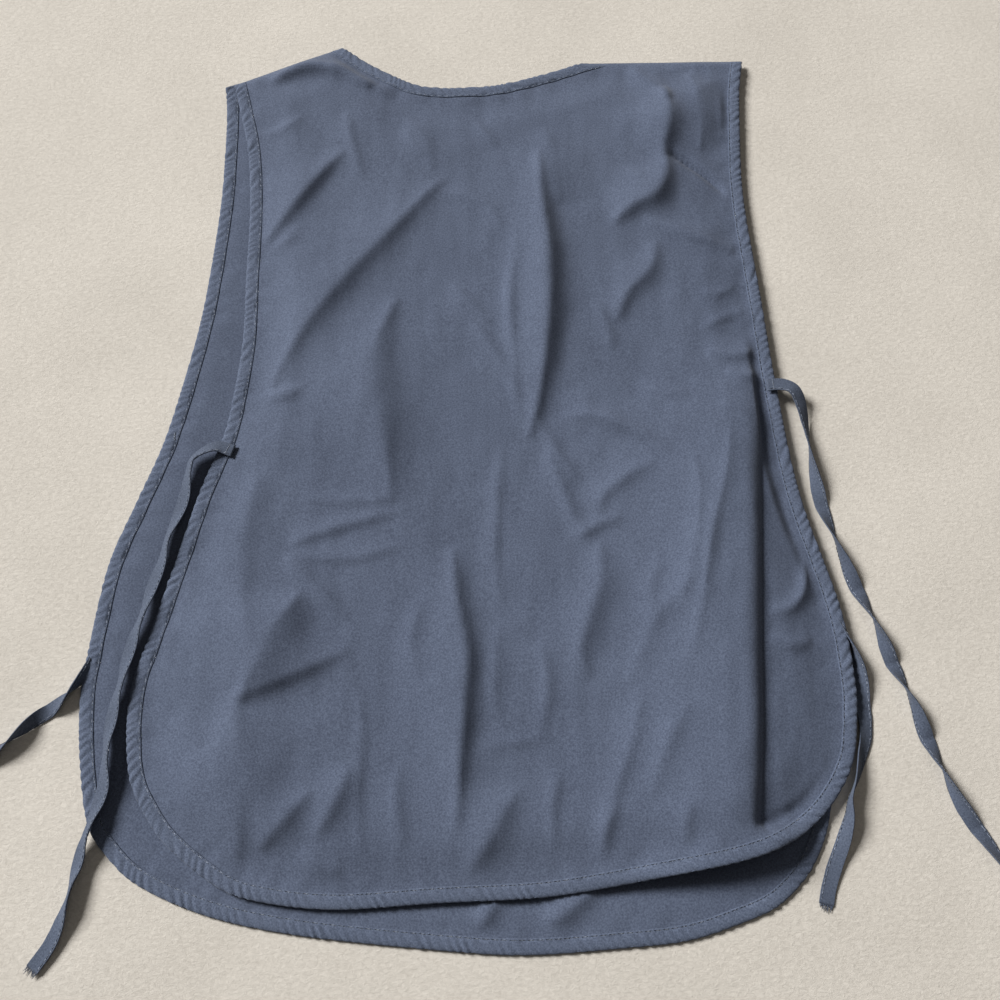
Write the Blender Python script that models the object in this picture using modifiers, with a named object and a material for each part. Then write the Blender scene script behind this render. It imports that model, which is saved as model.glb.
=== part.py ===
"""Cobbler apron laid flat: two panels joined at the shoulders, bias bindings and four ties.

Metres, +Z up. +Y points to the neck and +X to the right of the apron as it lies.
The origin is on the floor, under the middle of the two panels.
"""

from math import pi

import bmesh
import bpy
import numpy as np

# Driving dimensions
APRON_WIDTH = 0.550
APRON_LENGTH = 0.746
NECK_WIDTH = 0.215
BACK_NECK_DROP = 0.040
FRONT_NECK_DROP = 0.150
CLOTH = 0.0010
BINDING_WIDTH = 0.010
BINDING_WALL = 0.0010
BINDING_PLAY = 0.0004
SEAM_GAP = 0.0003
SEAM_ALLOWANCE = 0.008
TIE_WIDTH = 0.010
TIE_THICKNESS = 0.0012

# Heights of the cloth's middle above the floor, and how far in from an edge they settle
AIR_UNDER_BACK = 0.0082
HEM_SETTLES = 0.045
NECK_LIFT = 0.0024
RIGHT_LIFT = 0.0022
UNDER_TIE_LIFT = 0.0017
PLEAT_RISE = 0.0115
PLEAT_LEFT_FLANK = 0.062
PLEAT_RIGHT_FLANK = 0.0075
PLEAT_HEM_FLANK = 0.032
PLEAT_HEM_NEAR = 0.045
PLEAT_HEM_FAR = 0.100
FOLD_RISE = 0.005
FOLD_FLANK = 0.030
TIE_HUMP_TOP = 0.010
TIE_HUMP_FOOT = 0.080

# Strips along a bound edge, in binding widths: the flat one, and where folds reach full height
FLAT_STRIP = 1.3
FRONT_FOLDS_FULL = 2.0
PLEAT_FULL = 2.5
BACK_FOLDS_FULL = 3.5
SEAM_END = 1.6
BINDING_FOLD = 0.3

# Where the lifts are, as (low, high): shares of the neck's width, of half the apron's width
# and of half its length
NECK_LIFT_SPAN = (0.12, 0.50)
RIGHT_LIFT_ACROSS = (0.50, 0.80)
RIGHT_LIFT_ALONG = (0.30, 0.70)

# Mesh spacing
EDGE_STEP = 0.019
COLUMN_STEP = 0.023
PLEAT_COLUMN_STEP = 0.006
ROW_STEP = 0.030
FRONT_STEP = 0.060
FRONT_MARGIN_STEP = 0.025
SNAP = 0.002
TIE_STEP = 0.024
SEAM_RINGS = 6

# Where the mesh is finer for the pleat, for its hem and for the front panel's margin,
# as shares of half the apron's width and half its length
PLEAT_COLUMNS = (0.68, 0.90)
PLEAT_HEM_ACROSS = (0.50, 0.99)
PLEAT_HEM_ALONG = -0.64
FRONT_MARGIN = -0.70

HALF_WIDTH = APRON_WIDTH / 2
HALF_LENGTH = APRON_LENGTH / 2
BINDING_HALF = CLOTH / 2 + BINDING_PLAY + BINDING_WALL
EDGE_INSET = BINDING_WALL + BINDING_PLAY
FLAT_EDGE = FLAT_STRIP * BINDING_WIDTH
FRONT_EDGE_HEIGHT = BINDING_HALF
FRONT_HEIGHT = CLOTH / 2
BACK_EDGE_HEIGHT = 3 * BINDING_HALF + SEAM_GAP
BACK_HEIGHT = CLOTH + AIR_UNDER_BACK + CLOTH / 2

# Rows of (across, along): shares of half the apron's width and half its length.
# They run from the left shoulder tip down, round the hem and up to the right shoulder tip.
BACK_OUTLINE = (
    (-0.764, 0.890), (-0.735, 0.810), (-0.698, 0.694), (-0.676, 0.539), (-0.669, 0.365),
    (-0.662, 0.214), (-0.673, 0.094), (-0.691, -0.008), (-0.745, -0.139), (-0.789, -0.279),
    (-0.840, -0.437), (-0.866, -0.515), (-0.869, -0.600), (-0.847, -0.697), (-0.800, -0.761),
    (-0.735, -0.818), (-0.604, -0.887), (-0.498, -0.912), (-0.316, -0.925), (-0.065, -0.914),
    (0.207, -0.903), (0.476, -0.871), (0.676, -0.842), (0.793, -0.810), (0.876, -0.769),
    (0.935, -0.718), (0.975, -0.662), (0.994, -0.590), (1.000, -0.512), (0.982, -0.370),
    (0.905, -0.134), (0.869, 0.110), (0.847, 0.338), (0.829, 0.515), (0.825, 0.627),
    (0.833, 0.751), (0.844, 0.871), (0.862, 0.960),
)
FRONT_OUTLINE = (
    (-0.793, 0.885), (-0.782, 0.818), (-0.775, 0.724), (-0.771, 0.550), (-0.789, 0.306),
    (-0.818, 0.147), (-0.858, -0.016), (-0.916, -0.153), (-0.971, -0.287), (-0.996, -0.466),
    (-1.000, -0.550), (-0.982, -0.665), (-0.945, -0.775), (-0.891, -0.831), (-0.800, -0.885),
    (-0.625, -0.936), (-0.400, -0.968), (-0.065, -0.992), (0.145, -1.000), (0.375, -0.989),
    (0.538, -0.976), (0.673, -0.946), (0.756, -0.920), (0.822, -0.879), (0.865, -0.836),
    (0.902, -0.772), (0.927, -0.670), (0.935, -0.536), (0.916, -0.349), (0.873, -0.161),
    (0.840, 0.054), (0.818, 0.268), (0.804, 0.536), (0.807, 0.751), (0.833, 0.944),
)

# The neck's corners as (across, along): its middle is a little left of the apron's
NECK_MIDDLE = -0.038
NECK_CORNER_LEFT_ALONG = 1.000
NECK_CORNER_RIGHT_ALONG = 0.954
# Rows of (share of the neck's width from its right corner, share of its drop)
BACK_NECK = (
    (0.0, 0.0), (0.17, 0.42), (0.353, 0.82), (0.51, 0.965),
    (0.59, 1.0), (0.70, 0.94), (0.865, 0.49), (1.0, 0.0),
)
FRONT_NECK = (
    (0.0, 0.0), (0.05, 0.30), (0.14, 0.66), (0.30, 0.92),
    (0.50, 1.0), (0.70, 0.92), (0.86, 0.66), (0.95, 0.30), (1.0, 0.0),
)

# The crest of the big pleat, as (across, along) with the share of its full rise there
PLEAT_CREST = (
    (0.845, 0.200, 0.0), (0.832, 0.100, 0.10), (0.812, -0.090, 0.75), (0.780, -0.390, 1.0),
    (0.760, -0.600, 1.0), (0.735, -0.780, 1.0), (0.715, -1.000, 1.0),
)

# Folds. Each row holds the fold's start, middle and end as (across, along), its rise as a share
# of FOLD_RISE, and its left and right flank, seen from start to end, as shares of FOLD_FLANK.
BACK_FOLDS = (
    ("shoulder arch", (-0.650, 0.868), (-0.480, 0.912), (-0.330, 0.868), -0.90, 0.40, 0.47),
    ("armhole drag", (-0.400, 0.700), (-0.516, 0.575), (-0.630, 0.440), 0.70, 0.40, 0.73),
    ("long drag", (-0.060, 0.615), (-0.326, 0.400), (-0.560, 0.105), 1.00, 0.40, 0.87),
    ("centre ridge", (0.200, 0.730), (0.197, 0.357), (0.185, 0.020), 1.00, 0.33, 0.80),
    ("centre tail", (0.156, 0.030), (0.221, -0.099), (0.275, -0.240), 0.60, 0.40, 0.67),
    ("left dent", (-0.240, 0.250), (-0.165, 0.060), (-0.185, -0.110), -0.60, 0.73, 1.00),
    ("upper crease", (-0.504, -0.270), (-0.340, -0.262), (-0.165, -0.222), -0.50, 0.47, 0.53),
    ("big dent", (-0.350, -0.330), (-0.360, -0.450), (-0.460, -0.570), -0.80, 1.00, 1.20),
    ("dent lip", (-0.600, -0.575), (-0.431, -0.546), (-0.270, -0.488), 0.40, 0.40, 0.80),
    ("long lower fold", (-0.060, -0.270), (-0.010, -0.478), (-0.055, -0.830), 0.90, 0.40, 1.00),
    ("lens", (0.330, -0.010), (0.440, -0.050), (0.545, -0.060), 0.70, 0.60, 0.67),
    ("knot hollow", (0.340, -0.270), (0.322, -0.360), (0.290, -0.480), -0.70, 0.53, 0.67),
    ("right ridge", (0.705, 0.050), (0.646, -0.153), (0.530, -0.340), 0.50, 0.47, 1.00),
    ("shoulder drag", (0.500, 0.930), (0.600, 0.810), (0.575, 0.690), 1.00, 0.33, 1.13),
    ("shoulder foot", (0.575, 0.690), (0.570, 0.590), (0.430, 0.500), 0.90, 0.37, 1.00),
    ("armhole crease", (0.610, 0.662), (0.690, 0.630), (0.790, 0.570), -0.50, 0.33, 0.33),
    ("second crease", (0.505, 0.520), (0.599, 0.472), (0.773, 0.440), -0.50, 0.33, 0.40),
    ("hem groove left", (-0.300, -0.700), (-0.325, -0.758), (-0.370, -0.815), -0.70, 0.43, 0.50),
    ("hem groove middle", (0.150, -0.720), (0.083, -0.772), (0.000, -0.830), -0.50, 0.40, 0.53),
    ("hem groove right", (0.480, -0.590), (0.432, -0.719), (0.389, -0.834), -0.40, 0.47, 0.60),
)
FRONT_FOLDS = (
    ("hem ripple left", (-0.020, -0.900), (-0.030, -0.935), (-0.060, -0.965), 0.44, 0.33, 0.53),
    ("hem ripple right", (0.230, -0.890), (0.215, -0.935), (0.190, -0.965), 0.44, 0.33, 0.53),
    ("side ripple", (-0.800, -0.300), (-0.860, -0.330), (-0.930, -0.350), 0.16, 0.33, 0.47),
)
HIDDEN_TIE_LINE = ((-0.226, -0.012), (-0.268, -0.188))

# The ties' routes in metres, as (x, y, height of the tie's middle), from their sewn ends
TIE_ROUTES = {
    "tie_back_left": (
        (-0.181, -0.016, 0.0092), (-0.197, -0.012, 0.0088), (-0.210, -0.022, 0.0072),
        (-0.216, -0.048, 0.0060), (-0.225, -0.078, 0.0056), (-0.229, -0.104, 0.0056),
        (-0.236, -0.138, 0.0060), (-0.247, -0.170, 0.0068), (-0.254, -0.205, 0.0066),
        (-0.256, -0.238, 0.0062), (-0.254, -0.272, 0.0058), (-0.258, -0.300, 0.0046),
        (-0.263, -0.322, 0.0014), (-0.267, -0.345, 0.0009), (-0.274, -0.366, 0.0008),
        (-0.284, -0.382, 0.0008),
    ),
    "tie_front_left": (
        (-0.229, -0.012, 0.0009), (-0.236, -0.040, 0.0008), (-0.245, -0.080, 0.0008),
        (-0.254, -0.120, 0.0008), (-0.261, -0.155, 0.0008), (-0.272, -0.186, 0.0008),
        (-0.288, -0.206, 0.0008), (-0.304, -0.219, 0.0008), (-0.320, -0.234, 0.0008),
        (-0.337, -0.248, 0.0008),
    ),
    "tie_back_right": (
        (0.231, 0.038, 0.0112), (0.243, 0.038, 0.0118), (0.252, 0.033, 0.0112),
        (0.257, 0.022, 0.0064), (0.260, 0.002, 0.0014), (0.262, -0.030, 0.0008),
        (0.268, -0.066, 0.0008), (0.276, -0.098, 0.0008), (0.290, -0.135, 0.0008),
        (0.304, -0.176, 0.0008), (0.319, -0.220, 0.0008), (0.335, -0.268, 0.0008),
        (0.352, -0.298, 0.0008), (0.367, -0.325, 0.0008),
    ),
    "tie_front_right": (
        (0.229, 0.000, 0.0049), (0.235, -0.030, 0.0049), (0.243, -0.065, 0.0049),
        (0.253, -0.096, 0.0046), (0.266, -0.124, 0.0018), (0.279, -0.150, 0.0008),
        (0.287, -0.180, 0.0008), (0.290, -0.215, 0.0008), (0.284, -0.250, 0.0008),
        (0.270, -0.280, 0.0008), (0.261, -0.300, 0.0008), (0.253, -0.322, 0.0008),
        (0.246, -0.343, 0.0008),
    ),
}


def smooth_line(points, step):
    """Points about a step apart on a smooth curve through the given ones."""
    points = np.array(points, float)
    first = 2 * points[0] - points[1]
    last = 2 * points[-1] - points[-2]
    knots = np.vstack([first, points, last])
    fine = [points[0]]
    for a, b, c, d in zip(knots, knots[1:], knots[2:], knots[3:]):
        for t in np.linspace(0, 1, 9)[1:]:
            curve = 2 * b + (c - a) * t + (2 * a - 5 * b + 4 * c - d) * t**2
            fine.append((curve + (3 * b - a - 3 * c + d) * t**3) / 2)
    fine = np.array(fine)
    run = np.append(0, np.cumsum(np.linalg.norm(np.diff(fine, axis=0), axis=1)))
    stations = np.linspace(0, run[-1], max(2, round(run[-1] / step) + 1))
    return np.column_stack([np.interp(stations, run, axis) for axis in fine.T])


def eased(value, low, high):
    """0 below low, 1 above high, and a smooth rise between them."""
    share = np.clip((value - low) / (high - low), 0, 1)
    return share * share * (3 - 2 * share)


def placed(shares):
    """Rows of (across, along) as metres."""
    return np.array(shares) * (HALF_WIDTH, HALF_LENGTH)


def neck_line(rows, drop, step=EDGE_STEP):
    """The neck's edge from its right corner to its left one."""
    middle = NECK_MIDDLE * HALF_WIDTH
    right = np.array((middle + NECK_WIDTH / 2, NECK_CORNER_RIGHT_ALONG * HALF_LENGTH))
    left = np.array((middle - NECK_WIDTH / 2, NECK_CORNER_LEFT_ALONG * HALF_LENGTH))
    points = [right + (left - right) * across - (0, drop * deep) for across, deep in rows]
    return smooth_line(points, step)


def nearest(x, y, line):
    """Distance from each point to a line of points, the signed one, and the share run along it."""
    starts = line[:-1]
    runs = line[1:] - starts
    lengths = np.hypot(*runs.T)
    before = np.append(0, np.cumsum(lengths))
    dx = np.asarray(x)[:, None] - starts[:, 0]
    dy = np.asarray(y)[:, None] - starts[:, 1]
    share = np.clip((dx * runs[:, 0] + dy * runs[:, 1]) / lengths**2, 0, 1)
    distance = np.hypot(dx - share * runs[:, 0], dy - share * runs[:, 1])
    pick = distance.argmin(axis=1)
    every = np.arange(len(pick))
    side = np.sign(runs[pick, 0] * dy[every, pick] - runs[pick, 1] * dx[every, pick])
    along = (before[pick] + share[every, pick] * lengths[pick]) / before[-1]
    return distance[every, pick], side, along


def folded(x, y, folds):
    """The height that a table of folds adds."""
    height = np.zeros(len(x))
    for _, start, middle, end, rise, left_flank, right_flank in folds:
        line = smooth_line(placed((start, middle, end)), COLUMN_STEP / 2)
        distance, side, along = nearest(x, y, line)
        flank = FOLD_FLANK * np.where(side > 0, left_flank, right_flank)
        fade = np.sin(pi * np.clip(along, 0, 1)).clip(0) ** 0.6
        height += FOLD_RISE * rise * fade * np.exp(-((distance / flank) ** 2))
    return height


class Panel:
    """One panel's outline, and the height of its cloth's middle at any place."""

    def __init__(self, outline, neck, drop):
        self.sides = smooth_line(placed(outline), EDGE_STEP)
        self.neck = neck_line(neck, drop)
        shoulders = [
            smooth_line((self.sides[-1], self.neck[0]), EDGE_STEP)[1:-1],
            smooth_line((self.neck[-1], self.sides[0]), EDGE_STEP)[1:-1],
        ]
        self.loop = np.vstack([self.sides, shoulders[0], self.neck, shoulders[1]])
        self.closed_loop = np.vstack([self.loop, self.loop[:1]])

    def inwards(self, line):
        """Unit vectors square to a line, to the left of the way that it runs."""
        along = np.gradient(line, axis=0)
        across = np.column_stack([-along[:, 1], along[:, 0]])
        return across / np.linalg.norm(across, axis=1)[:, None]

    def inset(self, depth):
        """The outline moved in by a depth, with mitred corners."""
        after = np.diff(self.closed_loop, axis=0)
        after = np.column_stack([-after[:, 1], after[:, 0]]) / np.hypot(*after.T)[:, None]
        before = np.roll(after, 1, axis=0)
        mitre = (before + after) / (1 + (before * after).sum(axis=1))[:, None]
        return self.loop + depth * mitre

    def from_edge(self, x, y):
        return nearest(x, y, self.closed_loop)[0]


class FrontPanel(Panel):
    def height(self, x, y):
        from_edge = self.from_edge(x, y)
        inside = eased(from_edge, FLAT_EDGE, HEM_SETTLES)
        hidden_tie, _, _ = nearest(x, y, np.array(HIDDEN_TIE_LINE))
        over_tie = UNDER_TIE_LIFT * (1 - eased(hidden_tie, TIE_HUMP_TOP, TIE_HUMP_FOOT))
        flat = FRONT_EDGE_HEIGHT + (FRONT_HEIGHT - FRONT_EDGE_HEIGHT) * inside
        clear_of_binding = eased(from_edge, FLAT_EDGE, FRONT_FOLDS_FULL * BINDING_WIDTH)
        return flat + over_tie + clear_of_binding * folded(x, y, FRONT_FOLDS)


class BackPanel(Panel):
    def pleat(self, x, y):
        """The rise of the big pleat, whose right flank is steep but for a slope near the hem."""
        crest = placed(np.array(PLEAT_CREST)[:, :2])
        rise = PLEAT_RISE * np.interp(-y, -crest[:, 1], np.array(PLEAT_CREST)[:, 2])
        from_crest = x - np.interp(-y, -crest[:, 1], crest[:, 0])
        hem = placed(BACK_OUTLINE)[:, 1].min()
        near_hem = 1 - eased(y - hem, PLEAT_HEM_NEAR, PLEAT_HEM_FAR)
        right_flank = PLEAT_RIGHT_FLANK + (PLEAT_HEM_FLANK - PLEAT_RIGHT_FLANK) * near_hem
        flank = np.where(from_crest < 0, PLEAT_LEFT_FLANK, right_flank)
        clear_of_side = eased(self.from_edge(x, y), FLAT_EDGE, PLEAT_FULL * BINDING_WIDTH)
        reach = np.maximum(near_hem, clear_of_side)
        return rise * reach * np.exp(-((from_crest / flank) ** 2))

    def height(self, x, y):
        from_edge = self.from_edge(x, y)
        inside = eased(from_edge, FLAT_EDGE, HEM_SETTLES)
        neck_middle = self.neck[len(self.neck) // 2]
        from_neck = np.hypot(x - neck_middle[0], (y - neck_middle[1]) * 2)
        lift = NECK_LIFT * (1 - eased(from_neck / NECK_WIDTH, *NECK_LIFT_SPAN))
        right_side = eased(x / HALF_WIDTH, *RIGHT_LIFT_ACROSS)
        lift += RIGHT_LIFT * right_side * (1 - eased(y / HALF_LENGTH, *RIGHT_LIFT_ALONG))
        edge = BACK_EDGE_HEIGHT + lift
        flat = edge + (BACK_HEIGHT - edge) * inside
        clear_of_binding = eased(from_edge, FLAT_EDGE, BACK_FOLDS_FULL * BINDING_WIDTH)
        return flat + self.pleat(x, y) + clear_of_binding * folded(x, y, BACK_FOLDS)


def colour_material(name, colour, roughness):
    material = bpy.data.materials.new(name)
    material.use_nodes = True
    shader = material.node_tree.nodes["Principled BSDF"]
    shader.inputs["Base Color"].default_value = (*colour, 1.0)
    shader.inputs["Roughness"].default_value = roughness
    shader.inputs["Metallic"].default_value = 0.0
    return material


def add_object(name, bm, material, smooth=True):
    """The bmesh as a named object of the apron."""
    bmesh.ops.recalc_face_normals(bm, faces=bm.faces)
    mesh = bpy.data.meshes.new(name)
    bm.to_mesh(mesh)
    bm.free()
    mesh.materials.append(material)
    if smooth:
        mesh.shade_smooth()
    item = bpy.data.objects.new(name, mesh)
    apron.objects.link(item)
    return item


def cut_in_cells(bm, columns, rows):
    """Cuts a flat shape along lines of equal x and equal y."""
    cuts = [((x, 0, 0), (1, 0, 0)) for x in columns] + [((0, y, 0), (0, 1, 0)) for y in rows]
    for place, square_to in cuts:
        geometry = bm.verts[:] + bm.edges[:] + bm.faces[:]
        bmesh.ops.bisect_plane(bm, geom=geometry, dist=SNAP, plane_co=place, plane_no=square_to)


def cloth_panel(name, panel, columns, rows, material):
    """The panel's outline, cut in cells, raised to the height of its cloth and given its wall."""
    bm = bmesh.new()
    raw_edge = [bm.verts.new((x, y, 0)) for x, y in panel.inset(EDGE_INSET)]
    beside_binding = [bm.verts.new((x, y, 0)) for x, y in panel.inset(FLAT_EDGE)]
    for i in range(len(raw_edge)):
        bm.faces.new((raw_edge[i - 1], raw_edge[i], beside_binding[i], beside_binding[i - 1]))
    bm.faces.new(beside_binding)
    cut_in_cells(bm, columns, rows)
    x, y = np.array([vert.co[:2] for vert in bm.verts]).T
    for vert, z in zip(bm.verts, panel.height(x, y)):
        vert.co.z = z
    item = add_object(name, bm, material)
    wall = item.modifiers.new("cloth wall", "SOLIDIFY")
    wall.thickness = CLOTH
    wall.offset = 0
    return item


def lofted(bm, rings):
    """A closed solid through rings of equally many points."""
    rings = [[bm.verts.new(point) for point in ring] for ring in rings]
    for ring, following in zip(rings, rings[1:]):
        for i in range(len(ring)):
            bm.faces.new((ring[i - 1], ring[i], following[i], following[i - 1]))
    bm.faces.new(rings[0][::-1])
    bm.faces.new(rings[-1])


def closer_at_pleat(line):
    """The line with a middle point added to each step where the pleat crosses it at the hem."""
    points = [line[0]]
    for before, point in zip(line, line[1:]):
        across, along = point / (HALF_WIDTH, HALF_LENGTH)
        if PLEAT_HEM_ACROSS[0] < across < PLEAT_HEM_ACROSS[1] and along < PLEAT_HEM_ALONG:
            points.append((before + point) / 2)
        points.append(point)
    return np.array(points)


def edge_binding(name, panel, line, material):
    """A strip of cloth folded round a panel's edge, its section a U with a rounded fold."""
    lip = CLOTH / 2 + BINDING_PLAY
    half = BINDING_HALF
    fold = half * BINDING_FOLD
    inner = BINDING_WALL
    section = (
        (BINDING_WIDTH, half), (fold, half), (0, 0), (fold, -half), (BINDING_WIDTH, -half),
        (BINDING_WIDTH, -lip), (inner, -lip), (inner, lip), (BINDING_WIDTH, lip),
    )
    inwards = panel.inwards(line)
    layers = []
    for depth, up in section:
        x, y = (line + depth * inwards).T
        layers.append(np.column_stack([x, y, panel.height(x, y) + up]))
    bm = bmesh.new()
    lofted(bm, np.array(layers).transpose(1, 0, 2))
    return add_object(name, bm, material)


def shoulder_seam(name, end, corner, material):
    """The sewn seam allowance, a bar of cloth between the two panels along the shoulder."""
    tip = back.sides[end]
    clear = SEAM_END * BINDING_WIDTH + np.hypot(*(tip - front.sides[end]))
    line = smooth_line((tip, corner), EDGE_STEP)
    run = np.append(0, np.cumsum(np.hypot(*np.diff(line, axis=0).T)))
    stations = np.linspace(clear, run[-1] - clear, SEAM_RINGS)
    line = np.column_stack([np.interp(stations, run, axis) for axis in line.T])
    inwards = back.inwards(line)
    if inwards[0, 1] > 0:
        inwards = -inwards
    rings = []
    for (x, y), (across, along) in zip(line, inwards):
        depths = np.array((EDGE_INSET, SEAM_ALLOWANCE))
        xs, ys = x + depths * across, y + depths * along
        low = front.height(xs, ys) + CLOTH / 2 + SEAM_GAP
        high = back.height(xs, ys) - CLOTH / 2 - SEAM_GAP
        ring = [(xs[0], ys[0], low[0]), (xs[1], ys[1], low[1])]
        rings.append(ring + [(xs[1], ys[1], high[1]), (xs[0], ys[0], high[0])])
    bm = bmesh.new()
    lofted(bm, rings)
    return add_object(name, bm, material, smooth=False)


def tie(name, route, material):
    """A flat tape along its route, lying on its broad side."""
    curve = bpy.data.curves.new(name, "CURVE")
    curve.dimensions = "3D"
    curve.twist_mode = "Z_UP"
    curve.extrude = (TIE_WIDTH - TIE_THICKNESS) / 2
    curve.bevel_depth = TIE_THICKNESS / 2
    curve.bevel_resolution = 2
    curve.use_fill_caps = True
    points = smooth_line(route, TIE_STEP)
    spline = curve.splines.new("POLY")
    spline.points.add(len(points) - 1)
    for point, place in zip(spline.points, points):
        point.co = (*place, 1)
        point.tilt = pi / 2
    curve.materials.append(material)
    item = bpy.data.objects.new(name, curve)
    apron.objects.link(item)
    return item


for item in list(bpy.data.objects):
    bpy.data.objects.remove(item, do_unlink=True)
apron = bpy.data.collections.new("cobbler_apron")
bpy.context.scene.collection.children.link(apron)

panel_cloth = colour_material("navy cotton blend", (0.105, 0.122, 0.160), 0.88)
binding_cloth = colour_material("self fabric bias binding", (0.112, 0.130, 0.168), 0.90)
tie_cloth = colour_material("self fabric tie tape", (0.085, 0.100, 0.135), 0.90)

back = BackPanel(BACK_OUTLINE, BACK_NECK, BACK_NECK_DROP)
front = FrontPanel(FRONT_OUTLINE, FRONT_NECK, FRONT_NECK_DROP)

pleat_left = PLEAT_COLUMNS[0] * HALF_WIDTH
pleat_right = PLEAT_COLUMNS[1] * HALF_WIDTH
back_columns = np.concatenate([
    np.arange(-HALF_WIDTH + COLUMN_STEP, pleat_left, COLUMN_STEP),
    np.arange(pleat_left, pleat_right, PLEAT_COLUMN_STEP),
    np.arange(pleat_right + COLUMN_STEP / 2, HALF_WIDTH, COLUMN_STEP),
])
back_rows = np.arange(-HALF_LENGTH + ROW_STEP, HALF_LENGTH, ROW_STEP)
front_margin = FRONT_MARGIN * HALF_WIDTH
front_columns = np.concatenate([
    np.arange(-HALF_WIDTH + FRONT_MARGIN_STEP, front_margin, FRONT_MARGIN_STEP),
    np.arange(front_margin, HALF_WIDTH, FRONT_STEP),
])
front_rows = np.arange(-HALF_LENGTH + FRONT_MARGIN_STEP, HALF_LENGTH, FRONT_STEP)

cloth_panel("back_panel", back, back_columns, back_rows, panel_cloth)
cloth_panel("front_panel", front, front_columns, front_rows, panel_cloth)
edge_binding("back_edge_binding", back, closer_at_pleat(back.sides), binding_cloth)
edge_binding("front_edge_binding", front, front.sides, binding_cloth)
edge_binding("back_neck_binding", back, back.neck, binding_cloth)
edge_binding("front_neck_binding", front, front.neck, binding_cloth)
shoulder_seam("shoulder_seam_left", 0, back.neck[-1], panel_cloth)
shoulder_seam("shoulder_seam_right", -1, back.neck[0], panel_cloth)
for tie_name, tie_route in TIE_ROUTES.items():
    tie(tie_name, tie_route, tie_cloth)
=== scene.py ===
"""Cobbler apron of navy cotton blend, laid flat on pale fleece: the looks around its solids."""

from math import pi, radians

import bmesh
import bpy
import numpy as np
from mathutils import Matrix, Vector, noise


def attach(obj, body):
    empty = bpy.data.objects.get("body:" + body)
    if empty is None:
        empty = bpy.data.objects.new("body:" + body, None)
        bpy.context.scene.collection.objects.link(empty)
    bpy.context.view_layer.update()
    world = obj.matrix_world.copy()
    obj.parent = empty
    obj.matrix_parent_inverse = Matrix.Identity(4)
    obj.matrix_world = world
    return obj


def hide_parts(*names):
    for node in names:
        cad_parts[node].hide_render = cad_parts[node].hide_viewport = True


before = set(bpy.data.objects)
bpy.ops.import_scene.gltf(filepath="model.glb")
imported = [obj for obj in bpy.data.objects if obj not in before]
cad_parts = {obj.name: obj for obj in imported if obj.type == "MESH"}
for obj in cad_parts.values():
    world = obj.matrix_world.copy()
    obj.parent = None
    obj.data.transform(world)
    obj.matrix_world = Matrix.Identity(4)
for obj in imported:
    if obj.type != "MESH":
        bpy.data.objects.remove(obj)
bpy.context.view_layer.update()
scene = bpy.context.scene
scene.view_settings.view_transform = "Standard"

# The picture: a phone held over the apron and tipped 20 degrees from straight down.
LENS_MM = 38.99
CAMERA_PLACE = (0.0228, -0.3354, 0.774)
CAMERA_TIP = radians(20)

camera = bpy.data.objects.new("camera", bpy.data.cameras.new("camera"))
camera.data.lens = LENS_MM
camera.data.sensor_width = 36
camera.location = CAMERA_PLACE
camera.rotation_euler = (CAMERA_TIP, 0, 0)
scene.collection.objects.link(camera)
scene.camera = camera

# The four ties: flat tapes of the apron's own cloth, folded, edge stitched and 10 mm wide.
# Each is sewn down at one end, lies limp and twisted, and ends in a frayed cut.
TIE_WIDTH = 0.010
TIE_CLOTH = 0.0009
TIE_STEP = 0.0016
TIE_SEWN = 0.014
STITCH_PITCH = 0.0030
STITCH_LENGTH = 0.0023
STITCH_WIDTH = 0.00068
TIE_STITCH_IN = 0.0013
TIE_COLUMNS = (-0.5, -0.47, -0.40, -0.30, -0.15, 0, 0.15, 0.30, 0.40, 0.47, 0.5)
TURN_STATIONS = 13
EDGE_SINK = 0.0006
SEWN_SINK = 0.0007
SEWN_ON_TOP = 0.004
CUP_ON_EDGE = 0.0008
CUP_UNEVEN = 0.0004
WIDTH_UNEVEN = 0.05
UNEVEN_PER_METRE = 160
FLOOR_CLEAR = 0.0002
STITCH_CLEAR = 0.0004
STITCH_PROUD = 0.0001
BAR_TACK_IN = 0.005
BAR_TACK_REACH = 0.46
BAR_TACK_POINTS = 14
BAR_TACK_PITCH = 0.0006
FRAY_LENGTH = 0.006
FRAY_THREADS = 13
FRAY_ROOT = 0.00035
FRAY_TIP = 0.0001
# The cloth's finish: slubs and wash marks to the metre, the yarn's relief in metres, and the
# part of a noise texture's range that is stretched from the shade to the light colour
SLUBS_PER_METRE = 800.0
WASH_PER_METRE = 14.0
YARN_RELIEF = 0.0002
NOISE_LOW = 0.38
NOISE_HIGH = 0.62
DRAWN_THREAD = 0.0009
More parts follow.
